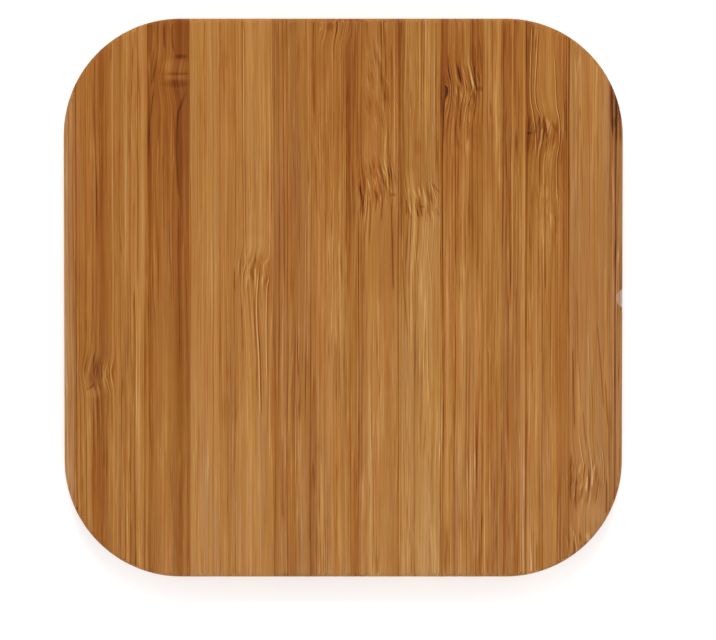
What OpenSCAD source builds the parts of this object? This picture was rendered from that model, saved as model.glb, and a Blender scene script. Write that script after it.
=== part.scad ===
// Square wireless charging pad. The body is a block of bamboo strips glued side by side, with
// a round pocket milled into it from below. A flush plastic base plate closes the pocket, and
// four rubber feet cover its screws. Inside are the circuit board with its USB-C inlet, the
// ferrite plate and the flat charging coil. A clear light pipe shows at the middle of one edge.
//
// Millimetres. +Z points up out of the charging face, +Y runs along the strips, and +X points
// to the light pipe. The origin is on the surface that the feet stand on, under the middle.

/* [Body] */
// Side of the square pad
body_side = 90; // [88:1:100]
// Radius of the upright corners
corner_r = 18.8; // [17:0.2:20]
// Height of the bamboo, without the feet
bamboo_h = 7.7; // [7.4:0.1:9]
// Round along the edge of the charging face
top_edge_r = 0.8; // [0.4:0.1:1.2]
// Round along the edge of the underside
bottom_edge_r = 0.5; // [0.3:0.1:0.8]
// Radius of the milled pocket
pocket_r = 39.5; // [39:0.1:39.5]

/* [Bamboo strips] */
// Width of a full strip
strip_w = 6.75; // [5.5:0.05:8]
// Width left of the first strip, where the block was cut to size
first_strip_w = 1.8; // [1.5:0.1:3]
// Number of the one strip that was planed narrower than the rest
narrow_strip = 3; // [2:1:5]
// Width of that strip
narrow_strip_w = 4.95; // [4:0.05:6.75]

/* [Base plate] */
// Thickness of the plate
plate_t = 1.6; // [1.6:0.1:1.8]
// Bamboo left outside the plate
plate_inset = 3.5; // [3.2:0.1:4]
// Gap around the plate
plate_gap = 0.15; // [0.1:0.05:0.2]
// Double-sided tape between the plate and the bamboo
seal_t = 0.1; // [0.05:0.05:0.15]
// Shallow panel for a rating plate: length
panel_l = 36; // [20:1:44]
// Shallow panel for a rating plate: width
panel_w = 15; // [10:1:20]
// Shallow panel for a rating plate: depth
panel_depth = 0.2; // [0.1:0.05:0.3]

/* [Feet and screws] */
// Radius of a foot
foot_r = 5; // [4:0.1:5]
// Thickness of a foot
foot_t = 1; // [0.9:0.05:1.1]
// How far a foot stands out of the plate
foot_proud = 0.7; // [0.5:0.1:0.8]
// Distance of a foot's middle from the pad's edges
foot_inset = 12; // [11.8:0.1:12.2]
// Adhesive disc on top of each foot
foot_glue_t = 0.15; // [0.1:0.05:0.15]
// Radius of a screw's countersunk head
screw_head_r = 1.9; // [1.7:0.1:2]
// Radius of a screw over its thread
screw_r = 1; // [0.9:0.05:1.1]
// Length of a screw
screw_l = 5.5; // [4:0.1:5.6]
// Pitch of a screw's thread
screw_pitch = 0.8; // [0.6:0.1:1]

/* [Circuit board] */
// Radius of the board
board_r = 37.2; // [36.5:0.1:37.3]
// Thickness of the board
board_t = 0.8; // [0.6:0.1:1]
// Gap between the base plate and the board
board_gap = 0.4; // [0.3:0.05:0.5]
// Radius of the plastic stakes that hold the board
stake_r = 0.8; // [0.6:0.1:0.9]

/* [Charging coil] */
// Radius of the coil's outside
coil_outer_r = 22; // [21:0.5:22.5]
// Number of turns
coil_turns = 10; // [8:1:10]
// Distance between neighbouring turns
coil_pitch = 1.175; // [1.15:0.005:1.2]
// Diameter of the wire
wire_d = 1.1; // [0.9:0.05:1.1]
// Diameter of the two coil leads
lead_d = 0.9; // [0.8:0.05:0.95]
// Radius of the ferrite plate
ferrite_r = 25; // [24:0.5:25]
// Thickness of the ferrite plate
ferrite_t = 0.8; // [0.8:0.05:1]
// Tape below the ferrite plate
ferrite_tape_t = 0.2; // [0.15:0.05:0.25]
// Tape below and above the coil
coil_tape_t = 0.15; // [0.1:0.05:0.2]

/* [USB-C inlet] */
// Width of the receptacle's steel shell
usb_w = 8.94;
// Height of the shell
usb_h = 3.26;
// Length of the shell
usb_l = 7.35;
// Thickness of the shell
usb_wall = 0.3;
// How far the shell's mouth sits behind the bamboo
usb_recess = 0.3; // [0.1:0.1:0.5]
// Gap around the shell in the bamboo window
usb_gap = 0.18; // [0.1:0.02:0.2]
// Height of the shell's middle above the board
usb_rise = 0.6; // [0.55:0.05:0.65]

/* [Light pipe] */
// Radius of the clear window's round side
light_r = 1.6; // [1.4:0.1:2]
// How far the window reaches into the charging face
light_depth = 1.05; // [0.8:0.05:1.3]
// Width of the limb that carries light out from the board
light_limb_w = 2.4; // [1.6:0.1:2.6]
// Height of that limb
light_limb_h = 1.3; // [1:0.1:1.3]

/* [Hidden] */
$fn = 64;
eps = 0.01;

half = body_side / 2;
bamboo_z0 = foot_proud;
bamboo_z1 = bamboo_z0 + bamboo_h;

plate_half = half - plate_inset;
plate_r = corner_r - plate_inset;
plate_z1 = bamboo_z0 + plate_t;
ledge_z = plate_z1 + seal_t;

foot_at = half - foot_inset;
foot_edge_r = 0.35;
foot_seat_z = foot_t + foot_glue_t;
foot_seat_r = foot_r + 0.2;
foot_glue_r = foot_r - 0.3;

screw_head_h = 0.9;
screw_core_r = screw_r - 0.25;
screw_hole_r = screw_r + 0.02;
screw_tip_z = foot_seat_z + screw_l;
cross_l = 2;
cross_w = 0.4;
cross_depth = 0.6;

board_z0 = plate_z1 + board_gap;
board_z1 = board_z0 + board_t;
stake_at_r = 34;
stake_angles = [40, 140, 245, 320];
stake_boss_r = 1.8;
stake_hole_r = stake_r + 0.1;
stake_cap_r = 1.4;
stake_cap_h = 0.45;

ferrite_z0 = board_z1 + ferrite_tape_t;
ferrite_z1 = ferrite_z0 + ferrite_t;
coil_z0 = ferrite_z1 + coil_tape_t;
coil_mid_z = coil_z0 + wire_d / 2;
coil_z1 = coil_z0 + wire_d;
coil_start_r = coil_outer_r - wire_d / 2 - (coil_turns - 0.5) * coil_pitch;
coil_end_x = coil_start_r + coil_turns * coil_pitch;
ceiling_z = coil_z1 + coil_tape_t;
lead_r = lead_d / 2;
lead_sides = 10;
lead_steps = 6;
lead_low_z = board_z1 + lead_r + 0.05;
ferrite_hole_r = 2.4;
slot_w = 2.6;
slot_start = [8.2, -3.6];
slot_angle = -20;

usb_z = board_z1 + usb_rise;
usb_x0 = -half + usb_recess;
usb_x1 = usb_x0 + usb_l;
usb_niche_x = -half + 2.4;
usb_niche_l = 10;
usb_niche_half_w = 6.8;
usb_block_l = 1.8;
tongue_w = 6.69;
tongue_t = 0.6;
tongue_setback = 0.8;
tongue_root_l = 1.2;
tongue_root_t = 1.1;
contact_count = 12;
contact_pitch = 0.5;
contact_w = 0.25;
contact_t = 0.05;
contact_l = 3.2;
tail_l = 0.9;
tail_t = 0.15;

led_size = [0.8, 1.6, 0.6];
led_x = board_r - 1.1;
light_x0 = led_x - 0.9;
light_z0 = board_z1 + led_size.z + 0.2;

strip_count = 2 + ceil((body_side - first_strip_w - narrow_strip_w) / strip_w);

function strip_name(i) = str("bamboo_strip_", i < 10 ? "0" : "", i);

// Right-hand edge of strip i; strip 0 stands for the pad's left side.
function strip_edge(i) =
    i == 0 ? -half :
    i == strip_count ? half :
    strip_edge(i - 1) + (i == 1 ? first_strip_w : i == narrow_strip ? narrow_strip_w : strip_w);

function polar(r, a) = [r * cos(a), r * sin(a)];

// ---------------------------------------------------------------- Bamboo body

// Section from the middle out to the rim, with the rim's two rounded edges.
module rim_section(reach) {
    translate([0, bamboo_z0])
        square([reach - top_edge_r, bamboo_h]);
    translate([0, bamboo_z0])
        square([reach - bottom_edge_r, bamboo_h / 2]);
    translate([0, bamboo_z0 + bottom_edge_r])
        square([reach, bamboo_h - bottom_edge_r - top_edge_r]);
    translate([reach - top_edge_r, bamboo_z1 - top_edge_r])
        circle(top_edge_r);
    translate([reach - bottom_edge_r, bamboo_z0 + bottom_edge_r])
        circle(bottom_edge_r);
}

// Straight bar across the pad, between two sets of corners.
module body_bar() {
    rotate([90, 0, 0])
        linear_extrude(body_side - 2 * corner_r, center = true) {
            rim_section(half);
            mirror([1, 0])
                rim_section(half);
        }
}

// The whole block before milling.
module body_blank() {
    body_bar();
    rotate(90)
        body_bar();
    for (a = [0, 90, 180, 270])
        rotate(a)
            translate([half - corner_r, half - corner_r])
                rotate_extrude(angle = 90)
                    rim_section(corner_r);
}

module rounded_square(side, r) {
    square([side, side - 2 * r], center = true);
    square([side - 2 * r, side], center = true);
    for (x = [-1, 1], y = [-1, 1])
        translate([x, y] * (side / 2 - r))
            circle(r);
}

module at_feet() {
    for (x = [-1, 1], y = [-1, 1])
        translate([x * foot_at, y * foot_at])
            children();
}

// Upright oval with half-round ends, run along X.
module stadium_bar(w, h, l) {
    rotate([90, 0, 90])
        linear_extrude(l) {
            square([w - h, h], center = true);
            for (y = [-1, 1])
                translate([y * (w - h) / 2, 0])
                    circle(h / 2);
        }
}

module usb_window() {
    translate([-half - 1, 0, usb_z])
        stadium_bar(usb_w + 2 * usb_gap, usb_h + 2 * usb_gap, 4);
    translate([usb_niche_x, -usb_niche_half_w, ledge_z])
        cube([usb_niche_l, 2 * usb_niche_half_w, ceiling_z - ledge_z]);
}

module body_cuts() {
    translate([0, 0, -1])
        linear_extrude(ledge_z + 1)
            rounded_square(2 * plate_half, plate_r);
    cylinder(r = pocket_r, h = ceiling_z);
    usb_window();
    light_pipe_form();
    at_feet()
        cylinder(r = screw_hole_r, h = screw_tip_z + 0.2);
}

module bamboo_strip(i) {
    light = "#C98F56";
    dark = "#9E6430";
    tones = [light, dark, "#AE7440", dark, light, light, "#A56B38", "#B87D48"];
    color(tones[(i - 1) % len(tones)])
        difference() {
            intersection() {
                body_blank();
                translate([strip_edge(i - 1), -half, 0])
                    cube([strip_edge(i) - strip_edge(i - 1), body_side, bamboo_z1 + 1]);
            }
            body_cuts();
        }
}

// ---------------------------------------------------------------- Light pipe

// Half-round window in the pad's edge, and the limb that reaches in over the lamp.
module light_pipe_form() {
    intersection() {
        body_bar();
        translate([half + light_r - light_depth, 0, light_z0])
            cylinder(r = light_r, h = bamboo_h);
    }
    limb_top = light_z0 + light_limb_h;
    rotate([90, 0, 0])
        linear_extrude(light_limb_w, center = true)
            polygon([
                [light_x0, light_z0],
                [half - light_depth / 2, light_z0],
                [half - light_depth / 2, limb_top],
                [light_x0 + light_limb_h, limb_top]
            ]);
}

module light_pipe() {
    color("#E9E2D2")
        light_pipe_form();
}

module status_led() {
    color("white")
        translate([led_x, 0, board_z1 + led_size.z / 2])
            cube(led_size, center = true);
}

// ---------------------------------------------------------------- Base plate, feet and screws

module at_stakes() {
    for (a = stake_angles)
        translate(polar(stake_at_r, a))
            children();
}

// Boss under the board, stake through it and the melted cap over it.
module board_stake() {
    cylinder(r = stake_boss_r, h = board_z0);
    cylinder(r = stake_r, h = board_z1 + eps);
    translate([0, 0, board_z1])
        spherical_cap(stake_cap_r, stake_cap_h);
}

module spherical_cap(r, h) {
    ball_r = (r * r + h * h) / (2 * h);
    rotate_extrude()
        intersection() {
            translate([0, h - ball_r])
                circle(ball_r);
            square([r + 1, h + 1]);
        }
}

module base_plate() {
    color("#26272A")
        difference() {
            union() {
                translate([0, 0, bamboo_z0])
                    linear_extrude(plate_t)
                        rounded_square(2 * (plate_half - plate_gap), plate_r - plate_gap);
                difference() {
                    at_stakes()
                        board_stake();
                    cylinder(r = pocket_r, h = bamboo_z0 + plate_t / 2);
                }
            }
            at_feet() {
                cylinder(r = foot_seat_r, h = foot_seat_z);
                cylinder(r = screw_r + 0.1, h = plate_z1 + 1);
                translate([0, 0, foot_seat_z - eps])
                    cylinder(r1 = screw_head_r + 0.05, r2 = screw_r + 0.05, h = screw_head_h);
            }
            translate([-panel_l / 2, -panel_w / 2, 0])
                cube([panel_l, panel_w, bamboo_z0 + panel_depth]);
        }
}

module base_seal_tape() {
    color("#D8D2C4")
        difference() {
            translate([0, 0, plate_z1])
                linear_extrude(seal_t)
                    rounded_square(2 * plate_half - 1, plate_r - 0.5);
            cylinder(r = pocket_r + 0.3, h = ceiling_z);
            translate([-half, -usb_niche_half_w - 0.5, 0])
                cube([usb_niche_l, 2 * usb_niche_half_w + 1, ceiling_z]);
            at_feet()
                cylinder(r = screw_r + 0.4, h = ceiling_z);
        }
}

module foot(x, y) {
    color("#3A3B3D")
        translate([x * foot_at, y * foot_at, 0])
            rotate_extrude() {
                square([foot_r - foot_edge_r, foot_t]);
                translate([0, foot_edge_r])
                    square([foot_r, foot_t - foot_edge_r]);
                translate([foot_r - foot_edge_r, foot_edge_r])
                    circle(foot_edge_r);
            }
}

module foot_adhesive_discs() {
    color("#E5E0D0")
        at_feet()
            translate([0, 0, foot_t])
                cylinder(r = foot_glue_r, h = foot_glue_t);
}

// Countersunk screw, head down, with its thread as rings of the right pitch.
module cover_screw() {
    thread_z0 = screw_head_h;
    rings = floor((screw_l - thread_z0 - 1) / screw_pitch);
    difference() {
        translate([0, 0, foot_seat_z]) {
            cylinder(r1 = screw_head_r, r2 = screw_core_r, h = screw_head_h);
            cylinder(r = screw_core_r, h = screw_l - 1);
            translate([0, 0, screw_l - 1])
                cylinder(r1 = screw_core_r, r2 = 0.1, h = 1);
            rotate_extrude()
                for (k = [0:rings - 1])
                    translate([0, thread_z0 + (k + 0.5) * screw_pitch])
                        polygon([
                            [0, -0.3 * screw_pitch],
                            [screw_core_r, -0.3 * screw_pitch],
                            [screw_r, -0.05 * screw_pitch],
                            [screw_r, 0.05 * screw_pitch],
                            [screw_core_r, 0.3 * screw_pitch],
                            [0, 0.3 * screw_pitch]
                        ]);
        }
        for (a = [0, 90])
            rotate(a)
                translate([-cross_l / 2, -cross_w / 2, foot_seat_z - eps])
                    cube([cross_l, cross_w, cross_depth]);
    }
}

module cover_screws() {
    color("#B9BCC0")
        at_feet()
            cover_screw();
}

// ---------------------------------------------------------------- Circuit board

module circuit_board() {
    notch_w = usb_w + 0.16;
    tab_half_w = usb_niche_half_w - 0.4;
    color("#1D5B38")
        translate([0, 0, board_z0])
            difference() {
                union() {
                    cylinder(r = board_r, h = board_t);
                    translate([usb_niche_x + 0.3, -tab_half_w, 0])
                        cube([usb_niche_l, 2 * tab_half_w, board_t]);
                }
                translate([-half, -notch_w / 2, -1])
                    cube([usb_x1 + half + 0.1, notch_w, board_t + 2]);
                at_stakes()
                    translate([0, 0, -1])
                        cylinder(r = stake_hole_r, h = board_t + 2);
            }
}

// A flat box standing on the board, turned to face the middle of the pad.
module board_box(r, a, size, angle = 0) {
    translate(concat(polar(r, a), board_z1 + size.z / 2))
        rotate(a + angle)
            cube(size, center = true);
}

module controller_ic() {
    color("#1B1C1F")
        board_box(31.2, 152, [5, 5, 0.85]);
}

power_bridge_angles = [204, 213];

module power_bridge_ics() {
    color("#202226")
        for (a = power_bridge_angles)
            board_box(31.2, a, [3.3, 3.3, 0.8]);
}

module timing_crystal() {
    color("#C9CBCE")
        board_box(30.6, 165, [2.5, 3.2, 0.7]);
}

module input_inductor() {
    color("#4A4C50")
        board_box(31.4, 226, [5.2, 5.2, 1.9]);
}

module thermal_pad() {
    color("#8FA3B5")
        translate(concat(polar(31.2, 208.5), plate_z1 + board_gap / 2))
            rotate(208.5)
                cube([7, 11, board_gap], center = true);
}

// Chip parts as [radius, angle]: each stands across the radius, with a cap at both ends.
resonant_caps = [for (a = [259, 268, 277, 286]) [31.4, a]];
bulk_caps = [for (a = [98, 106, 114]) [31.4, a]];
small_caps = concat(
    [for (a = [145, 152, 159]) [27.2, a]],
    [for (a = [193, 199]) [34.6, a]],
    [for (a = [122, 126, 130]) [29.5, a]],
    [for (a = [58, 66, 74]) [33, a]]
);
small_resistors = concat(
    [for (a = [146, 150.5, 155]) [35.3, a]],
    [for (a = [170, 174]) [31.5, a]],
    [for (a = [82, 88]) [33, a]],
    [for (a = [5, -5, 10]) [31.5, a]]
);
resonant_size = [2.5, 3.2, 1.8];
bulk_size = [1.6, 3.2, 1.6];
small_cap_size = [0.8, 1.6, 0.8];
small_resistor_size = [0.8, 1.6, 0.45];
end_cap_share = 0.18;

module chip_bodies(places, size) {
    for (p = places)
        board_box(p[0], p[1], [size.x, size.y * (1 - 2 * end_cap_share), size.z]);
}

module end_caps(places, size) {
    cap_l = size.y * end_cap_share;
    for (p = places, side = [-1, 1])
        translate(concat(polar(p[0], p[1]), board_z1 + size.z / 2))
            rotate(p[1])
                translate([0, side * (size.y - cap_l) / 2, 0])
                    cube([size.x, cap_l, size.z], center = true);
}

module resonant_capacitors() {
    color("#B98A5A")
        chip_bodies(resonant_caps, resonant_size);
}

module bulk_capacitors() {
    color("#A87B4E")
        chip_bodies(bulk_caps, bulk_size);
}

module chip_capacitors() {
    color("#9C7246")
        chip_bodies(small_caps, small_cap_size);
}

module chip_resistors() {
    color("#17181A")
        chip_bodies(small_resistors, small_resistor_size);
}

module chip_end_caps() {
    color("#C7CACD") {
        end_caps(resonant_caps, resonant_size);
        end_caps(bulk_caps, bulk_size);
        end_caps(small_caps, small_cap_size);
        end_caps(small_resistors, small_resistor_size);
    }
}

// ---------------------------------------------------------------- USB-C inlet

module usb_shell() {
    tab_l = 1.1;
    tab_w = 1.3;
    tab_t = 0.25;
    color("#C3C6CA")
        difference() {
            union() {
                translate([usb_x0, 0, usb_z])
                    stadium_bar(usb_w, usb_h, usb_l);
                for (x = [usb_niche_x + 0.6, usb_x1 - tab_l - 0.3], side = [-1, 1])
                    translate([x, side * (usb_w / 2 + tab_w / 2 - usb_wall / 2) - tab_w / 2, board_z1])
                        cube([tab_l, tab_w, tab_t]);
            }
            translate([usb_x0 - 1, 0, usb_z])
                stadium_bar(usb_w - 2 * usb_wall, usb_h - 2 * usb_wall, usb_l + 2);
        }
}

module usb_insulator() {
    color("#141416") {
        translate([usb_x1 - usb_block_l, 0, usb_z])
            stadium_bar(usb_w - 2 * usb_wall, usb_h - 2 * usb_wall, usb_block_l);
        translate([usb_x1 - usb_block_l - tongue_root_l, -tongue_w / 2, usb_z - tongue_root_t / 2])
            cube([tongue_root_l + eps, tongue_w, tongue_root_t]);
        translate([usb_x0 + tongue_setback, -tongue_w / 2, usb_z - tongue_t / 2])
            cube([usb_l - tongue_setback - usb_block_l + eps, tongue_w, tongue_t]);
    }
}

module usb_contacts() {
    color("#D9B25A")
        for (k = [0:contact_count - 1]) {
            y = (k - (contact_count - 1) / 2) * contact_pitch;
            for (z = [usb_z + tongue_t / 2, usb_z - tongue_t / 2 - contact_t])
                translate([usb_x0 + tongue_setback + 0.3, y - contact_w / 2, z])
                    cube([contact_l, contact_w, contact_t]);
            translate([usb_x1, y - contact_w / 2, board_z1])
                cube([tail_l, contact_w, tail_t]);
        }
}

// ---------------------------------------------------------------- Coil stack

// Channel that lets the inner coil lead pass under the turns.
module lead_slot() {
    translate(slot_start)
        rotate(slot_angle)
            translate([0, -slot_w / 2])
                square([ferrite_r, slot_w]);
}

module flat_ring(outer_r, inner_r, t, slotted = false) {
    linear_extrude(t)
        difference() {
            circle(outer_r);
            circle(inner_r);
            if (slotted)
                lead_slot();
        }
}

module ferrite_tape() {
    color("#E8E2C8")
        translate([0, 0, board_z1])
            flat_ring(ferrite_r - 0.5, ferrite_hole_r, ferrite_tape_t, slotted = true);
}

module ferrite_plate() {
    color("#3B3D40")
        translate([0, 0, ferrite_z0])
            flat_ring(ferrite_r, ferrite_hole_r, ferrite_t, slotted = true);
}

module coil_tape() {
    color("#E2DCC0")
        translate([0, 0, ferrite_z1])
            flat_ring(coil_outer_r, coil_start_r - wire_d / 2, coil_tape_t, slotted = true);
}

module coil_top_tape() {
    color("#DDD6BA")
        translate([0, 0, coil_z1])
            flat_ring(coil_outer_r - 0.5, coil_start_r, coil_tape_t);
}

// A flat spiral of half-turns, whose centres shift by half a pitch from one to the next.
module coil_winding() {
    color("#B4643A")
        for (k = [0:2 * coil_turns - 1]) {
            odd = k % 2;
            translate([odd * coil_pitch / 2, 0, coil_mid_z])
                rotate(180 * odd)
                    rotate_extrude(angle = 180)
                        translate([coil_start_r + k * coil_pitch / 2, 0])
                            circle(wire_d / 2);
        }
}

// Route of each lead, from the end of the winding to its solder pad.
inner_lead_route = [
    [coil_start_r, 0, coil_mid_z],
    [coil_start_r, -0.8, coil_mid_z],
    [9.8, -2, coil_mid_z - 0.05],
    [9.2, -3.4, 4.6],
    [9.6, -4.3, lead_low_z],
    [11.4, -5, lead_low_z],
    [14, -5.9, lead_low_z],
    [20, -8, lead_low_z],
    [26, -10.2, lead_low_z],
    [28, -10.9, lead_low_z]
];
outer_lead_route = [
    [coil_end_x, 0, coil_mid_z],
    [coil_end_x, 1, coil_mid_z],
    [coil_end_x + 0.2, 2.5, coil_mid_z],
    [coil_end_x + 1, 5.5, coil_mid_z],
    [25.2, 8.4, 4.9],
    [26.6, 10, 4.1],
    [28, 11.2, lead_low_z]
];

// Point on a smooth curve through the route, at t from 0 to 1 between points i and i + 1.
function curve_point(route, i, t) =
    let (
        n = len(route) - 1,
        a = route[max(i - 1, 0)],
        b = route[i],
        c = route[min(i + 1, n)],
        d = route[min(i + 2, n)]
    )
    b + 0.5 * t * ((c - a) + t * ((2 * a - 5 * b + 4 * c - d) + t * (3 * (b - c) + d - a)));

function curve_points(route) = concat(
    [for (i = [0:len(route) - 2], s = [0:lead_steps - 1]) curve_point(route, i, s / lead_steps)],
    [route[len(route) - 1]]
);

function unit(v) = v / norm(v);

// Directions across and above the path at point i.
function path_frame(path, i) =
    let (
        along = unit(path[min(i + 1, len(path) - 1)] - path[max(i - 1, 0)]),
        across = unit(cross([0, 0, 1], along))
    )
    [across, cross(along, across)];

module tube(route, r) {
    path = curve_points(route);
    last = len(path) - 1;
    rings = [
        for (i = [0:last], s = [0:lead_sides - 1])
            let (f = path_frame(path, i), a = 360 * s / lead_sides)
            path[i] + r * (cos(a) * f[0] + sin(a) * f[1])
    ];
    walls = [
        for (i = [0:last - 1], s = [0:lead_sides - 1])
            let (n = (s + 1) % lead_sides, b = i * lead_sides)
            [b + s, b + n, b + lead_sides + n, b + lead_sides + s]
    ];
    start_face = [for (s = [lead_sides - 1:-1:0]) s];
    end_face = [for (s = [0:lead_sides - 1]) last * lead_sides + s];
    polyhedron(rings, concat(walls, [start_face, end_face]));
}

module coil_lead_inner() {
    color("#A85C34")
        tube(inner_lead_route, lead_r);
}

module coil_lead_outer() {
    color("#A85C34")
        tube(outer_lead_route, lead_r);
}

// Coated bead in the middle of the coil, on two stiff legs.
module coil_thermistor() {
    bead_r = 1;
    leg_r = 0.2;
    leg_gap = 0.55;
    color("#2B2B2E") {
        translate([0, 0, ceiling_z - bead_r - 0.05])
            sphere(bead_r);
        for (side = [-1, 1])
            translate([side * leg_gap, 0, board_z1])
                cylinder(r = leg_r, h = ceiling_z - bead_r - board_z1);
    }
}

module solder_joints() {
    lead_joint = [1.3, 0.7];
    leg_joint = [0.45, 0.35];
    color("#D0D2D4")
        translate([0, 0, board_z1]) {
            for (route = [inner_lead_route, outer_lead_route])
                let (end = route[len(route) - 1])
                    translate([end.x, end.y])
                        spherical_cap(lead_joint[0], lead_joint[1]);
            for (side = [-1, 1])
                translate([side * 0.55, 0])
                    spherical_cap(leg_joint[0], leg_joint[1]);
        }
}

// ---------------------------------------------------------------- Nodes

for (i = [1:strip_count])
    bamboo_strip(i);
light_pipe();
base_plate();
base_seal_tape();
foot(-1, -1);  // foot_front_left
foot(1, -1);  // foot_front_right
foot(-1, 1);  // foot_rear_left
foot(1, 1);  // foot_rear_right
foot_adhesive_discs();
cover_screws();
circuit_board();
usb_shell();
usb_insulator();
usb_contacts();
controller_ic();
power_bridge_ics();
timing_crystal();
input_inductor();
resonant_capacitors();
bulk_capacitors();
chip_capacitors();
chip_resistors();
chip_end_caps();
status_led();
thermal_pad();
ferrite_tape();
ferrite_plate();
coil_tape();
coil_winding();
coil_top_tape();
coil_lead_inner();
coil_lead_outer();
coil_thermistor();
solder_joints();
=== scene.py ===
import math

import bpy
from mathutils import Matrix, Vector


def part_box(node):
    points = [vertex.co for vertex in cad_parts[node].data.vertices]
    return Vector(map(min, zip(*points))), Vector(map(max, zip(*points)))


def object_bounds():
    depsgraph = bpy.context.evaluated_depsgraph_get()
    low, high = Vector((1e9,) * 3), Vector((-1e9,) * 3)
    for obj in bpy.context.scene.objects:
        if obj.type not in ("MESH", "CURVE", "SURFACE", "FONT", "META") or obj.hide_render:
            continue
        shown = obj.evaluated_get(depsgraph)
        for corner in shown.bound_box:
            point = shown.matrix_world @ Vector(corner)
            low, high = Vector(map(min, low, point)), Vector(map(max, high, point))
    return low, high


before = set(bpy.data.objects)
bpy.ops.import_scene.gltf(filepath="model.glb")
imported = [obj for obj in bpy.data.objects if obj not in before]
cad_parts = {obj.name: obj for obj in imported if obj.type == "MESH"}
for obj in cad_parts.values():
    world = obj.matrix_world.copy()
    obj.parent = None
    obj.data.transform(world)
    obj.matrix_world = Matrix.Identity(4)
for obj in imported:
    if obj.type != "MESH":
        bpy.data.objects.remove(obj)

# A bamboo wireless charging pad lying on its feet on a white table, seen almost straight down.
# Lengths are metres, apart from these, which are millimetres: the STRIPS table, names that end
# in _mm or _MM, and the x, y and z that the materials' patterns are made from.

MM = 0.001
CAD_BOX = [list(corner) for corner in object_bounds()]

PAD_LOW, PAD_HIGH = (Vector(corner) for corner in CAD_BOX)
PAD_SIDE = PAD_HIGH.x - PAD_LOW.x
FACE_Z = PAD_HIGH.z

STRIP_NAMES = sorted(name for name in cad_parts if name.startswith("bamboo_strip_"))


# ------------------------------------------------------------------ colours and node graphs

def srgb(r, g, b):
    """A display colour, 0 to 255, as the linear colour that shaders take."""
    def linear(v):
        v /= 255
        return v / 12.92 if v <= 0.04045 else ((v + 0.055) / 1.055) ** 2.4
    return (linear(r), linear(g), linear(b), 1)


def darker(colour, share):
    """The colour with its light cut to a share."""
    return tuple(channel * share for channel in colour[:3]) + (1,)


def fill_ramp(ramp, stops, interpolation):
    """Gives a colour ramp its stops, which are (place, colour or grey level)."""
    ramp.interpolation = interpolation
    while len(ramp.elements) < len(stops):
        ramp.elements.new(1.0)
    for element, (place, colour) in zip(ramp.elements, sorted(stops, key=lambda s: s[0])):
        element.position = place
        element.color = colour if isinstance(colour, tuple) else (colour,) * 3 + (1,)


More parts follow.
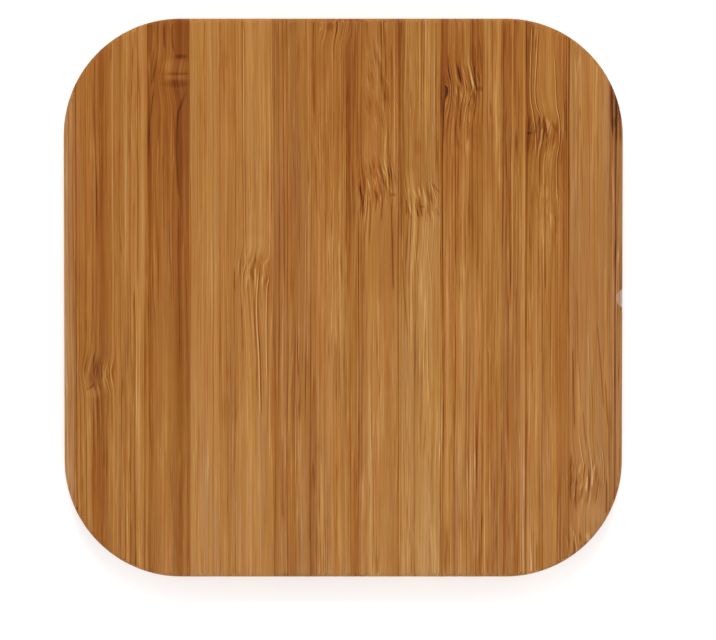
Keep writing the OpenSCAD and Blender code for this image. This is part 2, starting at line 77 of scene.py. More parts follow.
class Graph:
    """One material's node tree, with a short call for each kind of node."""

    def __init__(self, name):
        self.material = bpy.data.materials.new(name)
        self.material.use_nodes = True
        self.tree = self.material.node_tree
        self.tree.nodes.clear()
        self.shader = self.node("ShaderNodeBsdfPrincipled")
        self.output = self.node("ShaderNodeOutputMaterial")
        self.put(self.output.inputs["Surface"], self.shader.outputs[0])

    def node(self, kind, **settings):
        made = self.tree.nodes.new(kind)
        for name, value in settings.items():
            setattr(made, name, value)
        return made

    def put(self, socket, value):
        """Links an output to the socket, or sets the socket to a plain value."""
        if isinstance(value, bpy.types.NodeSocket):
            self.tree.links.new(value, socket)
        else:
            socket.default_value = value

    def set(self, **values):
        """Sets the shader's sockets, named with _ for a space."""
        for name, value in values.items():
            self.put(self.shader.inputs[name.replace("_", " ")], value)

    def math(self, operation, *values, clamp=False):
        made = self.node("ShaderNodeMath", operation=operation, use_clamp=clamp)
        for socket, value in zip(made.inputs, values):
            self.put(socket, value)
        return made.outputs[0]

    def add(self, *values):
        total = values[0]
        for value in values[1:]:
            total = self.math("ADD", total, value)
        return total

    def times(self, a, b):
        return self.math("MULTIPLY", a, b)

    def fit(self, value, low, high, clamp=False):
        """0 at low and 1 at high, straight between and beyond unless clamped."""
        return self.math("MULTIPLY_ADD", value, 1 / (high - low), -low / (high - low), clamp=clamp)

    def between(self, value, low, high):
        """A 0 to 1 pattern as a number from low to high."""
        return self.math("MULTIPLY_ADD", value, high - low, low)

    def spread(self, value, amount):
        """A 0 to 1 pattern as a number between -amount and +amount."""
        return self.between(value, -amount, amount)

    def step(self, value, low, high):
        """0 below low, 1 above high, smooth between them. Falls if low is above high."""
        made = self.node("ShaderNodeMapRange", interpolation_type="SMOOTHSTEP")
        ends = (low, high, 0.0, 1.0) if low < high else (high, low, 1.0, 0.0)
        self.put(made.inputs["Value"], value)
        for name, end in zip(("From Min", "From Max", "To Min", "To Max"), ends):
            made.inputs[name].default_value = end
        return made.outputs["Result"]

    def length(self, u, v):
        return self.math("SQRT", self.add(self.times(u, u), self.times(v, v)))

    def place_mm(self):
        """The row frame's x, y and z in millimetres."""
        at = self.node("ShaderNodeTexCoord").outputs["Object"]
        split = self.node("ShaderNodeSeparateXYZ")
        self.put(split.inputs[0], at)
        return [self.times(part, 1 / MM) for part in split.outputs]

    def facing(self):
        """The surface's own direction as x, y and z."""
        split = self.node("ShaderNodeSeparateXYZ")
        self.put(split.inputs[0], self.node("ShaderNodeTexCoord").outputs["Normal"])
        return list(split.outputs)

    def vector(self, x, y, z):
        made = self.node("ShaderNodeCombineXYZ")
        for socket, value in zip(made.inputs, (x, y, z)):
            self.put(socket, value)
        return made.outputs[0]

    def noise(self, at, scale=1.0, detail=2.0, roughness=0.5):
        made = self.node("ShaderNodeTexNoise")
        self.put(made.inputs["Vector"], at)
        for name, value in (("Scale", scale), ("Detail", detail), ("Roughness", roughness)):
            made.inputs[name].default_value = value
        return made.outputs["Fac"]

    def cells(self, at, feature):
        """Distance to the nearest cell's middle, "F1", or to its edge, "DISTANCE_TO_EDGE"."""
        made = self.node("ShaderNodeTexVoronoi", feature=feature)
        self.put(made.inputs["Vector"], at)
        return made.outputs["Distance"]

    def ramp(self, value, stops, interpolation="LINEAR"):
        made = self.node("ShaderNodeValToRGB")
        fill_ramp(made.color_ramp, stops, interpolation)
        self.put(made.inputs[0], value)
        return made.outputs["Color"]

    def curve(self, value, marks):
        """A smooth curve through the marks, which are (place, height), both from 0 to 1."""
        made = self.node("ShaderNodeFloatCurve")
        line = made.mapping.curves[0]
        line.points[0].location = marks[0]
        line.points[1].location = marks[-1]
        for mark in marks[1:-1]:
            line.points.new(*mark)
        made.mapping.update()
        self.put(made.inputs["Value"], value)
        return made.outputs[0]

    def mix(self, amount, a, b):
        made = self.node("ShaderNodeMix", data_type="RGBA")
        self.put(made.inputs[0], amount)
        self.put(made.inputs[6], a)
        self.put(made.inputs[7], b)
        return made.outputs[2]

    def bump(self, height_mm, strength=1.0):
        """Height in millimetres above the surface."""
        made = self.node("ShaderNodeBump")
        made.inputs["Strength"].default_value = strength
        made.inputs["Distance"].default_value = MM
        self.put(made.inputs["Height"], height_mm)
        self.put(self.shader.inputs["Normal"], made.outputs[0])


# ------------------------------------------------------------------ bamboo

# How much brighter than its own colour a flat white face looks in this light.
STUDIO_GAIN = 1.45


def under_studio_light(r, g, b):
    """The colour that shows as r, g, b under the studio light."""
    return darker(srgb(r, g, b), 1 / STUDIO_GAIN)


# Tones run from DARKEST, which looks scorched, to 1, the palest fibre. 0.5 is ordinary caramel.
DARKEST = -0.25
ORANGE_TONES = [
    (DARKEST, under_studio_light(66, 32, 8)),
    (0.00, under_studio_light(121, 56, 4)),
    (0.25, under_studio_light(147, 82, 24)),
    (0.50, under_studio_light(169, 108, 46)),
    (0.75, under_studio_light(189, 132, 69)),
    (1.00, under_studio_light(208, 160, 98)),
]
PINK_TONES = [
    (DARKEST, under_studio_light(62, 38, 22)),
    (0.00, under_studio_light(118, 57, 16)),
    (0.25, under_studio_light(142, 83, 38)),
    (0.50, under_studio_light(163, 109, 61)),
    (0.75, under_studio_light(184, 134, 86)),
    (1.00, under_studio_light(205, 162, 116)),
]

# One entry for each strip, from left to right. The numbers were set one by one, and corrected
# until the strip's colours came close to the photograph's. Places are x and y in mm.
#   along     tone at the lower end, the middle and the upper end: partly the strip's own tone,
#             partly painted light, paler towards the lower end on most strips
#   across    change of tone at the left edge, a third, two thirds and the right edge
#   lines     fibres that run the whole length: (x, half-width, change of tone)
#   upper     the same, in the upper half only
#   lower     the same, in the lower half only
#   bends     where a joint of the cane pushes its fibres sideways and makes them stand out:
#             (y, reach above, reach below, push in mm, how much more they stand out)
#   strokes   single fibres: (kind, half-width, change of tone, points from top to bottom)
#   patches   cloudy places: (x, y, half-width, half-height, change of tone)
#   dashes    places with short slanting fibres: (x, y, half-width, half-height, slant, strength)
#   olive     a small turn of its hue towards green, or towards red if negative
#   pink      how far the strip leans from orange to pink, from 0 to 1
#   grain     strength of its ordinary grain
STRIPS = [
    dict(along=(0.70, 0.61, 0.66), across=(0.12, 0.02, -0.02, -0.06), pink=0.8,
         lines=[(-44.1, 0.12, -0.12), (-43.3, 0.12, -0.16)], bends=[(-12, 8, 12, 0.3, 0.3)]),
    dict(along=(0.43, 0.41, 0.42), across=(0.02, 0.02, -0.06, 0.04), grain=0.75,
         lines=[(-43.0, 0.14, -0.22), (-41.4, 0.12, -0.14), (-40.3, 0.10, -0.10),
                (-38.8, 0.50, -0.07), (-37.0, 0.14, 0.16)],
         bends=[(-12, 4, 4, -0.6, 0.6)],
         dashes=[(-39.6, -12.5, 2.8, 3.5, 0.10, 0.20)],
         strokes=[("dark", 0.15, -0.22, (-39.8, -8.0), (-40.2, -10.5), (-39.9, -13.4)),
                  ("dark", 0.12, -0.22, (-38.6, -9.5), (-38.9, -11.5), (-38.7, -13.6)),
                  ("dark", 0.15, -0.24, (-40.2, -13.6), (-40.9, -14.5), (-42.2, -15.0)),
                  ("dark", 0.10, -0.14, (-40.4, -22.5), (-40.0, -26.0), (-40.5, -29.5))],
         patches=[(-40.0, -15.2, 1.6, 1.0, 0.12)]),
    dict(along=(0.53, 0.51, 0.49), across=(-0.02, 0.0, 0.03, 0.0), grain=0.8,
         lines=[(-36.5, 0.25, 0.08), (-35.9, 0.10, -0.14), (-35.0, 0.12, 0.06),
                (-34.3, 0.10, -0.14), (-33.1, 0.10, -0.22), (-32.0, 0.12, -0.16)],
         upper=[(-32.4, 0.35, 0.12)], lower=[(-33.6, 0.12, -0.20), (-32.8, 0.40, 0.10)]),
    dict(along=(0.47, 0.39, 0.27), across=(0.04, 0.05, 0.0, -0.08), grain=0.65,
         lines=[(-31.7, 0.12, -0.14), (-29.8, 0.10, -0.04), (-26.2, 1.1, -0.13),
                (-25.2, 0.3, -0.05)],
         bends=[(36, 4, 6, -0.6, 0.5)],
         strokes=[("dark", 0.17, -0.18, (-28.5, 45.0), (-28.7, 42.0), (-28.2, 39.3)),
                  ("dark", 0.25, -0.14, (-27.4, 45.0), (-27.5, 42.0), (-26.6, 38.8)),
                  ("dark", 0.22, -0.16, (-24.9, 34.0), (-25.9, 31.5), (-26.7, 28.0), (-26.3, 15)),
                  ("dark", 0.09, -0.26, (-30.3, 34.5), (-30.7, 31.5), (-31.0, 28.0)),
                  ("dark", 0.19, -0.14, (-29.8, 39.5), (-30.2, 37.0), (-31.2, 33.5))],
         patches=[(-26.7, 37.3, 2.5, 1.3, 0.17), (-26.6, 35.6, 2.4, 0.5, 0.14),
                  (-26.6, 36.1, 2.2, 0.22, -0.14), (-26.8, 34.5, 2.4, 0.7, -0.13),
                  (-26.1, 38.9, 1.2, 0.4, -0.20)]),
    dict(along=(0.64, 0.60, 0.57), across=(0.02, 0.04, 0.0, -0.08), grain=0.55,
         lines=[(-24.75, 0.16, -0.26), (-23.5, 0.10, -0.07), (-22.3, 0.12, -0.07),
                (-20.9, 0.10, -0.10), (-19.8, 0.12, -0.09), (-18.9, 0.10, 0.10),
                (-17.9, 0.14, -0.18)],
         patches=[(-19.0, -18, 1.0, 3.0, -0.08)]),
    dict(along=(0.64, 0.58, 0.60), across=(-0.06, 0.0, 0.03, -0.05), grain=0.7,
         lines=[(-17.4, 0.10, -0.14), (-16.9, 0.08, -0.12), (-15.0, 0.40, 0.04),
                (-11.2, 0.15, -0.22)],
         upper=[(-16.2, 0.10, -0.16), (-13.3, 0.12, 0.08), (-11.9, 0.15, 0.08)],
         lower=[(-14.6, 0.10, -0.10), (-15.5, 0.12, 0.12)],
         bends=[(4.5, 4.5, 16, -0.8, 0.6)],
         dashes=[(-14.4, 4.2, 3.6, 3.6, -0.04, 0.36)],
         strokes=[("edge", 0.12, 0.26, (-16.0, 45), (-15.9, 14.0), (-15.8, 6.1), (-16.3, 2.3),
                   (-16.1, -2.5)),
                  ("edge", 0.10, 0.26, (-12.3, 10.0), (-11.8, 7.3), (-12.1, 5.0)),
                  ("edge", 0.16, 0.34, (-13.0, 5.6), (-13.8, 2.6), (-13.95, -1), (-13.6, -10),
                   (-13.4, -20)),
                  ("edge", 0.14, 0.32, (-11.1, 5.0), (-12.1, 2.8), (-12.35, 0), (-12.3, -14)),
                  ("dark", 0.15, -0.20, (-17.1, 5.5), (-17.5, 3.5), (-17.3, 0.5)),
                  ("dark", 0.14, -0.20, (-15.1, 5.0), (-15.4, 3.5)),
                  ("dark", 0.12, -0.18, (-16.4, 0.0), (-16.3, -5), (-16.1, -10)),
                  ("dark", 0.19, -0.16, (-11.2, 2.5), (-11.2, -3), (-11.1, -10)),
                  ("dark", 0.15, -0.14, (-14.3, 1.0), (-14.3, -4), (-14.0, -9))],
         patches=[(-13.8, 4.6, 0.8, 2.0, -0.10), (-14.4, 8.6, 2.2, 2.2, 0.10),
                  (-14.2, 4.0, 3.8, 7.0, -0.08)]),
    dict(along=(0.44, 0.46, 0.46), across=(0.0, -0.02, 0.0, -0.06), pink=0.4, grain=0.8,
         lines=[(-11.0, 0.10, -0.12), (-10.3, 0.12, -0.12), (-9.6, 0.10, -0.18),
                (-9.0, 0.10, -0.14), (-8.7, 0.10, 0.10), (-7.7, 0.10, -0.08)],
         upper=[(-5.6, 0.10, 0.18)],
         lower=[(-9.9, 0.35, 0.06), (-5.2, 0.12, -0.14)],
         strokes=[("edge", 0.10, 0.22, (-7.15, 10.0), (-7.1, 0), (-7.2, -11)),
                  ("edge", 0.11, 0.22, (-6.0, 14.0), (-6.1, 4), (-6.15, -11)),
                  ("edge", 0.11, 0.20, (-7.8, -15.0), (-7.7, -24), (-7.9, -32)),
                  ("dark", 0.19, -0.16, (-9.7, -21), (-9.8, -28), (-9.6, -37))]),
    dict(along=(0.57, 0.56, 0.42), across=(0.02, 0.03, 0.0, -0.06),
         lines=[(-4.4, 0.12, -0.16), (-3.7, 0.10, -0.12), (-2.9, 0.10, -0.10),
                (-1.7, 0.10, 0.07), (-0.5, 0.08, 0.08), (0.4, 0.10, 0.08), (2.0, 0.15, -0.10)],
         upper=[(1.0, 0.80, -0.03)], lower=[(-1.0, 0.10, -0.10), (1.2, 0.10, -0.09)],
         bends=[(44, 2.5, 4, 0.6, 0.8)],
         patches=[(-2.2, 43.7, 0.8, 0.8, -0.14), (0.9, 36, 1.6, 9, -0.04)]),
    dict(along=(0.60, 0.53, 0.42), across=(-0.02, 0.02, 0.02, -0.04),
         lines=[(2.35, 0.14, -0.22), (8.95, 0.14, -0.24)],
         lower=[(2.9, 0.25, -0.10), (4.1, 0.40, 0.05), (4.9, 0.10, 0.10), (5.6, 0.10, 0.12),
                (7.2, 0.60, 0.04)],
         bends=[(17, 6, 8, 0.5, 0.8)],
         dashes=[(5.4, 34, 3.2, 8, 0.14, 0.22), (5.8, 19, 3.2, 4.5, 0.22, 0.42)],
         strokes=[("edge", 0.10, 0.24, (4.8, 40.5), (5.0, 38.5), (5.3, 36)),
                  ("edge", 0.10, 0.20, (4.1, 39.0), (4.3, 37.5), (4.6, 35.6)),
                  ("edge", 0.10, 0.22, (6.2, 30.4), (6.4, 29), (6.65, 27.4)),
                  ("edge", 0.10, 0.22, (7.1, 31.6), (7.4, 30.4), (7.7, 29)),
                  ("edge", 0.10, 0.20, (8.2, 32.5), (8.5, 31.6), (8.85, 30.3)),
                  ("edge", 0.11, 0.20, (6.9, 21.6), (7.1, 19.5), (7.2, 17)),
                  ("edge", 0.11, 0.20, (7.7, 21.6), (8.1, 19.5), (8.25, 17)),
                  ("edge", 0.11, 0.18, (5.1, 22), (5.5, 20.6), (5.8, 19.6)),
                  ("dark", 0.26, -0.34, (2.4, 19.5), (2.75, 17.5), (3.1, 15), (3.0, 12)),
                  ("dark", 0.11, -0.22, (3.7, 19.2), (4.1, 18), (4.3, 16.8), (4.2, 8)),
                  ("dark", 0.10, -0.22, (5.6, 17.0), (5.35, 15.4), (5.2, 13.5)),
                  ("dark", 0.10, -0.22, (6.4, 17.1), (6.3, 15), (6.1, 12)),
                  ("dark", 0.14, -0.28, (8.2, 16.9), (7.8, 14), (7.9, 9), (8.1, 0)),
                  ("dark", 0.09, -0.16, (3.4, 14), (3.3, 8), (3.3, 0))],
         patches=[(5.8, 18.5, 3.4, 3.5, -0.10), (5.8, 18.0, 1.1, 0.9, 0.12),
                  (8.0, 16.7, 0.6, 0.35, -0.22), (5.8, 7.0, 3.8, 8.0, -0.05)]),
    dict(along=(0.67, 0.64, 0.54), across=(-0.03, 0.0, 0.03, -0.05), olive=0.003, pink=0.35,
         lines=[(9.3, 0.12, -0.14), (15.75, 0.12, -0.26)],
         upper=[(9.9, 0.08, -0.14), (10.6, 0.08, -0.14), (12.5, 0.08, -0.12),
                (13.5, 0.10, -0.10), (14.3, 0.08, -0.12)],
         lower=[(11.5, 0.18, -0.20), (13.1, 0.50, 0.06), (14.5, 0.30, -0.06)],
         bends=[(14.5, 7, 12, 0.5, 0.7)],
         dashes=[(12.7, 15.2, 3.2, 3.5, 0.16, 0.42)],
         strokes=[("edge", 0.10, 0.22, (11.6, 32.5), (11.3, 29.5), (11.0, 26.5)),
                  ("edge", 0.09, 0.16, (14.2, 29), (14.45, 26.7), (14.6, 24.3)),
                  ("edge", 0.12, 0.18, (12.3, 21), (12.3, 18), (12.6, 16.2)),
                  ("edge", 0.12, 0.22, (13.8, 19.2), (14.6, 17), (15.3, 14.5)),
                  ("dark", 0.15, -0.22, (14.3, 18.8), (15.0, 17.6), (15.8, 16.8)),
                  ("dark", 0.14, -0.26, (9.8, 16.5), (10.15, 14.8), (10.1, 12.9)),
                  ("dark", 0.12, -0.24, (11.5, 15.7), (11.8, 14.3), (12.15, 12.9)),
                  ("dark", 0.14, -0.20, (14.9, 14.9), (15.1, 14), (15.35, 13)),
                  ("dark", 0.12, -0.18, (9.4, 8), (9.9, 0), (10.5, -7)),
                  ("edge", 0.12, 0.14, (11.2, 11), (11.8, 5), (12.2, 0)),
                  ("edge", 0.12, 0.14, (13.3, 11), (13.9, 5), (14.3, -1))],
         patches=[(13.6, 15.0, 2.6, 2.6, -0.07), (11.1, 19.0, 1.1, 2.3, 0.09),
                  (12.7, 14.8, 0.5, 0.25, -0.22), (12.0, 24.5, 0.7, 1.6, -0.10),
                  (12.4, 23.0, 4.2, 9.0, -0.13)]),
    dict(along=(0.62, 0.57, 0.38), across=(-0.02, 0.02, 0.0, -0.04),
         lines=[(16.0, 0.14, -0.20), (22.4, 0.12, -0.12)],
         upper=[(16.7, 0.25, -0.09), (17.3, 0.08, 0.12), (18.1, 0.10, -0.16),
                (19.5, 0.50, 0.08), (20.7, 0.14, -0.18), (21.6, 0.14, -0.16)],
         lower=[(16.7, 0.35, 0.06), (18.0, 0.20, -0.16), (19.0, 0.20, 0.06),
                (19.9, 0.12, -0.18), (21.2, 0.10, 0.08)],
         bends=[(33.5, 5, 7, 0.7, 0.9)],
         dashes=[(19.6, 34.5, 3.2, 4.0, 0.22, 0.42), (19.5, 27, 3.0, 5, 0.06, 0.20)],
         strokes=[("dark", 0.11, -0.24, (16.9, 40), (17.0, 36.5), (17.6, 34.4)),
                  ("dark", 0.10, -0.22, (18.2, 38), (18.6, 36), (19.0, 34)),
                  ("dark", 0.12, -0.20, (20.9, 41.5), (21.2, 38.5), (21.0, 34.8)),
                  ("dark", 0.12, -0.20, (21.6, 43), (22.1, 38.7), (22.2, 35)),
                  ("dark", 0.12, -0.24, (21.4, 34.7), (20.8, 33), (20.2, 30.9), (20.0, 24)),
                  ("edge", 0.10, 0.22, (21.1, 34.5), (20.3, 32), (19.6, 30), (19.4, 26)),
                  ("edge", 0.10, 0.22, (18.2, 35), (18.1, 32), (17.8, 29.5)),
                  ("dark", 0.10, -0.22, (19.9, 34.8), (19.5, 33), (18.9, 30.5), (18.8, 25)),
                  ("dark", 0.19, -0.20, (16.1, 32.5), (16.2, 29), (16.0, 24))],
         patches=[(19.4, 34.5, 3.4, 3.6, -0.06), (16.9, 33.3, 1.2, 0.25, -0.05),
                  (16.4, 33.8, 0.8, 1.6, 0.16),
                  (21.9, 33.7, 0.7, 0.45, -0.18), (16.6, -41, 0.5, 5.0, -0.20)]),
    dict(along=(0.52, 0.48, 0.42), across=(0.04, 0.02, -0.04, 0.0),
         lines=[(22.9, 0.12, 0.10), (24.0, 0.12, -0.10), (25.0, 0.50, 0.05),
                (25.9, 0.10, -0.10), (27.8, 0.40, -0.05), (29.1, 0.12, 0.12)],
         upper=[(27.3, 0.09, 0.20), (23.5, 0.10, 0.12)],
         lower=[(24.9, 0.10, -0.18), (26.6, 0.10, -0.10)],
         strokes=[("edge", 0.09, 0.22, (26.0, 28.5), (26.0, 24), (26.1, 18.5))]),
    dict(along=(0.55, 0.50, 0.40), across=(-0.04, 0.04, 0.02, -0.06),
         lines=[(29.45, 0.14, -0.22), (35.9, 0.10, -0.10)],
         upper=[(33.2, 0.70, 0.08), (35.4, 0.15, -0.14)],
         lower=[(31.0, 0.50, 0.06), (32.1, 0.12, -0.22), (33.4, 0.10, -0.12),
                (35.0, 0.80, -0.05)],
         bends=[(28, 6, 7, 0.8, 0.7)],
         dashes=[(32.4, 26.5, 3.2, 3.5, -0.16, 0.42), (33.0, 14, 3.0, 7, 0.03, 0.20)],
         strokes=[("edge", 0.13, 0.34, (30.3, 45), (30.1, 38), (30.0, 34), (30.5, 29.5),
                   (30.9, 26), (31.0, 22)),
                  ("edge", 0.13, 0.34, (31.4, 45), (31.0, 38), (30.8, 33), (31.7, 29.3),
                   (32.0, 28)),
                  ("edge", 0.13, 0.32, (33.9, 40), (34.2, 31.5), (34.7, 28), (34.75, 26),
                   (34.3, 21.5), (34.5, 14)),
                  ("edge", 0.10, 0.20, (31.7, 26), (31.4, 22.5), (31.5, 15)),
                  ("dark", 0.19, -0.24, (32.3, 29), (32.6, 27.2), (32.8, 25.2)),
                  ("dark", 0.12, -0.22, (33.6, 29), (33.9, 27)),
                  ("dark", 0.14, -0.18, (35.0, 33), (35.6, 29.5), (35.3, 25), (34.9, 20)),
                  ("dark", 0.10, -0.22, (32.6, 22), (32.5, 12), (32.7, 0))],
         patches=[(32.5, 27.0, 3.4, 3.2, -0.09), (29.9, 26.6, 0.7, 0.3, -0.24),
                  (29.9, 24.7, 0.6, 1.6, -0.10), (33.0, 23.8, 0.7, 1.3, 0.08),
                  (32.6, 22.0, 4.0, 8.0, -0.05)]),
    dict(along=(0.56, 0.54, 0.57), across=(-0.02, 0.01, 0.01, 0.0), pink=0.55, grain=0.6,
         upper=[(36.3, 0.16, -0.34)], lower=[(36.3, 0.12, -0.14)],
         lines=[(37.1, 0.12, -0.06), (38.0, 0.12, 0.06), (39.2, 0.10, -0.06),
                (40.9, 0.12, -0.06), (42.9, 0.12, -0.12)],
         bends=[(-29, 8, 6, 0.6, 0.6)],
         strokes=[("dark", 0.10, -0.20, (37.6, 2), (37.8, -6), (38.1, -14)),
                  ("edge", 0.10, 0.16, (39.3, -5), (39.7, -12), (40.1, -19)),
                  ("dark", 0.10, -0.24, (40.8, -3), (41.5, -11), (42.1, -19)),
                  ("dark", 0.10, -0.28, (42.2, -12), (42.4, -16), (42.8, -22)),
                  ("dark", 0.12, -0.26, (36.9, -7), (37.1, -13), (37.3, -22)),
                  ("dark", 0.10, -0.20, (38.6, -17), (38.8, -20), (39.3, -25)),
                  ("edge", 0.11, 0.24, (37.9, -21), (38.4, -25), (38.8, -27.8), (38.7, -29.5)),
                  ("edge", 0.10, 0.20, (39.7, -25), (40.1, -27.5), (40.0, -29.5)),
                  ("edge", 0.11, 0.24, (41.2, -22.5), (41.9, -26), (42.0, -28), (41.5, -32)),
                  ("dark", 0.15, -0.28, (37.8, -28), (37.5, -31.5), (37.7, -35)),
                  ("dark", 0.18, -0.26, (36.8, -24), (36.7, -30), (37.0, -34)),
                  ("dark", 0.12, -0.26, (39.4, -27), (39.6, -30), (39.1, -32)),
                  ("dark", 0.12, -0.26, (41.3, -28), (41.0, -31), (40.5, -33.5)),
                  ("dark", 0.15, -0.30, (42.4, -28), (42.5, -33), (42.3, -36)),
                  ("dark", 0.14, -0.26, (37.0, -38), (37.3, -41), (37.2, -44)),
                  ("dark", 0.12, -0.26, (38.6, -39), (38.4, -42), (38.6, -44))],
         dashes=[(38.8, -29.5, 3.4, 4.5, -0.10, 0.40), (38.2, -40.5, 2.6, 4, 0.10, 0.42)],
         patches=[(39.0, -29.5, 3.4, 4.0, -0.05), (40.4, -34.5, 1.4, 2.2, 0.08),
                  (38.0, -41, 2.4, 3.5, -0.08), (36.6, -33, 0.6, 9, -0.12)]),
    dict(along=(0.54, 0.58, 0.46), across=(-0.02, 0.0, -0.02, 0.04), pink=1.0,
         lines=[(42.95, 0.12, -0.14), (43.85, 0.13, -0.37)],
         strokes=[("dark", 0.14, -0.40, (43.15, 36), (43.2, 31), (43.4, 25)),
                  ("dark", 0.16, -0.45, (43.8, 35), (43.9, 31), (43.85, 24)),
                  ("dark", 0.20, -0.25, (44.3, 32), (44.5, 28), (44.6, 24))],
         patches=[(43.7, 31.5, 1.0, 4.0, -0.22), (43.5, 28.3, 0.5, 1.0, -0.20)]),
]

# Noise stretched along the fibres. For each pattern: how fast it changes across the strip, along
# it and down into it, for each mm; its own place in the noise; its detail; and its roughness.
PATTERNS = {
    # where the fibres lie
    "wander": (0.25, 0.030, 0.0, 0, 1.0, 0.5),
    "uneven": (0.70, 0.060, 0.0, 5, 1.0, 0.5),
    # the grain's layers, from the widest to the finest
    "cloud": (0.50, 0.060, 0.0, 61, 3.0, 0.5),
    "soft": (0.80, 0.012, 0.0, 0, 2.0, 0.5),
    "cut": (0.90, 0.008, 0.9, 9, 1.0, 0.5),
    "thread": (1.15, 0.009, 1.1, 13, 1.0, 0.5),
    "fine": (2.10, 0.022, 2.1, 17, 0.0, 0.5),
    "fibre": (2.40, 0.014, 2.4, 0, 3.0, 0.7),
    "short": (3.00, 0.350, 3.0, 51, 2.0, 0.5),
    "hair": (7.50, 0.140, 7.5, 0, 2.0, 0.5),
    # where the fibres are many, and where the whole grain is strong
    "busy": (0.45, 0.012, 0.0, 3, 1.0, 0.5),
    "lively": (0.30, 0.045, 0.0, 71, 1.0, 0.5),
    # broken fibres in a joint of the cane
    "fleck": (2.20, 0.160, 0.0, 0, 2.0, 0.5),
    "dash": (2.40, 0.270, 0.0, 31, 1.0, 0.5),
    # colour
    "lean": (0.90, 0.020, 0.0, 21, 3.0, 0.75),
    "warm": (1.10, 0.030, 0.0, 41, 2.0, 0.5),
}
# Distance in the noise from one strip to the next.
SEED_STEP = 17.3

# Pairs of numbers are (low, high).
# The fibres' own run: how far they wander, how unevenly a joint of the cane pushes them, and how
# far from a strip's middle it still does so fully, as a share of the strip's width.
WANDER_MM = 0.30
PUSH_SHARES = (0.2, 1.8)
PUSHED_WITHIN = 0.30

# How far each pattern moves the tone up and down. CUTS is how many times the "cut" pattern is
# folded into sharp edges. Fibres and fine lines are strongest where "busy" is high.
PROFILE_TONE = 0.7
CLOUD_TONE = 0.15
SOFT_TONE = 0.18
CUT_TONE = 0.06
CUTS = 7.0
THREAD_TONE = 0.25
FINE_TONES = (0.10, 0.25)
FIBRE_TONES = (0.05, 0.35)
SHORT_TONE = 0.09
HAIR_TONE = 0.14
FLECK_TONE = 0.22
BUSY_LEVELS = (0.42, 0.60)
LIVELY_LEVELS = (0.36, 0.62)
LIVELY_GAINS = (0.6, 1.35)
GRAIN_GAIN = 1.05

# Lines and strokes are drawn a little wider and stronger than the table says. A stroke's width,
# in its half-widths, grows from its tips to its body over TIP_MM. A patch is full within its
# core and gone at its rim, in its half-sizes.
LINE_GAIN = 1.3
STROKE_GAIN = 1.8
STROKE_WIDTHS = (1.6, 5.6)
TIP_MM = 2.5
PATCH_RIM = 1.25
PATCH_CORE = 0.35

# Where a strip's three tones lie between its lower end, 0, and its upper end, 1. The tones are
# partly painted light, paler towards the lower end on most strips. Its upper lines give way to
# its lower lines between two heights, unevenly.
ALONG_PLACES = (0.12, 0.5, 0.88)
UPPER_FROM_MM = 10.0
LOWER_FROM_MM = -4.0
UNEVEN_MM = 12.0

# Blender turns no hue at 0.5, the middle of its scale.
HUES = (0.4930, 0.5110)
# From orange, 0, to pink, 1: what the "lean" pattern adds, what a mm upwards adds, and what a
# strip has if its entry doesn't say.
PINK_LEAN = 1.6
PINK_PER_MM = -0.006
USUAL_PINK = 0.08

# The cut ends of the fibres, painted paler than the face as a painted highlight, with dark dots,
# and the surface.
END_FACING = (0.5, 0.95)
DOTS_PER_MM = 1.9
DOT_LEVELS = (0.18, 0.42)
# These three lift the end walls' ground above the face's tone, a painted highlight, and set its
# dark dots.
END_TONE_SHARE = 0.70
END_DOT_TONE = 0.24
END_TONE = 0.04
WOOD_ROUGHNESS = (0.44, 0.60)
WOOD_SPECULAR = 0.1
FIBRE_RELIEF_MM = 0.02
HAIR_RELIEF_MM = 0.01
RELIEF_STRENGTH = 0.6

# Tone levels, 0.5 for no change, for each level of a pattern: thin dark and pale threads, then
# finer ones, then the short slanting fibres of a joint.
THREAD_STOPS = [(0.0, 0.5), (0.345, 0.5), (0.360, 0.0), (0.375, 0.65), (0.395, 0.5),
                (0.440, 0.5), (0.452, 0.9), (0.464, 0.5), (0.485, 0.5), (0.497, 0.05),
                (0.510, 0.55), (0.550, 0.5), (0.563, 0.85), (0.576, 0.1), (0.590, 0.5),
                (0.635, 0.5), (0.650, 0.0), (0.668, 0.5), (1.0, 0.5)]
FINE_STOPS = [(0.0, 0.5), (0.30, 0.5), (0.335, 0.0), (0.37, 0.5), (0.46, 0.5), (0.485, 1.0),
              (0.51, 0.5), (0.56, 0.5), (0.59, 0.0), (0.62, 0.5), (1.0, 0.5)]
DASH_STOPS = [(0.0, 0.2), (0.34, 0.1), (0.42, 0.5), (0.56, 0.5), (0.60, 0.45), (0.64, 0.9),
              (0.72, 1.0), (1.0, 1.0)]

# A stroke's tone from its left to its right side. 0 is no change for "dark", and 0.5 for "edge".
STROKE_SHAPES = {
    "dark": [(0.0, 0.0), (0.1, 0.0), (0.30, 0.15), (0.5, 1.0), (0.70, 0.15), (0.9, 0.0),
             (1.0, 0.0)],
    # An edge stroke is a pale fibre, partly a painted highlight, with a painted shadow as the dark
    # dip on its right.
    "edge": [(0.0, 0.5), (0.1, 0.5), (0.22, 0.42), (0.36, 0.45), (0.5, 1.0), (0.62, 0.5),
             (0.73, 0.08), (0.86, 0.48), (0.93, 0.5), (1.0, 0.5)],
}


def tone_colour(g, tone, tones):
    """The tone as one of ORANGE_TONES or PINK_TONES."""
    place = g.fit(tone, DARKEST, 1, clamp=True)
    return g.ramp(place, [((level - DARKEST) / (1 - DARKEST), colour) for level, colour in tones])


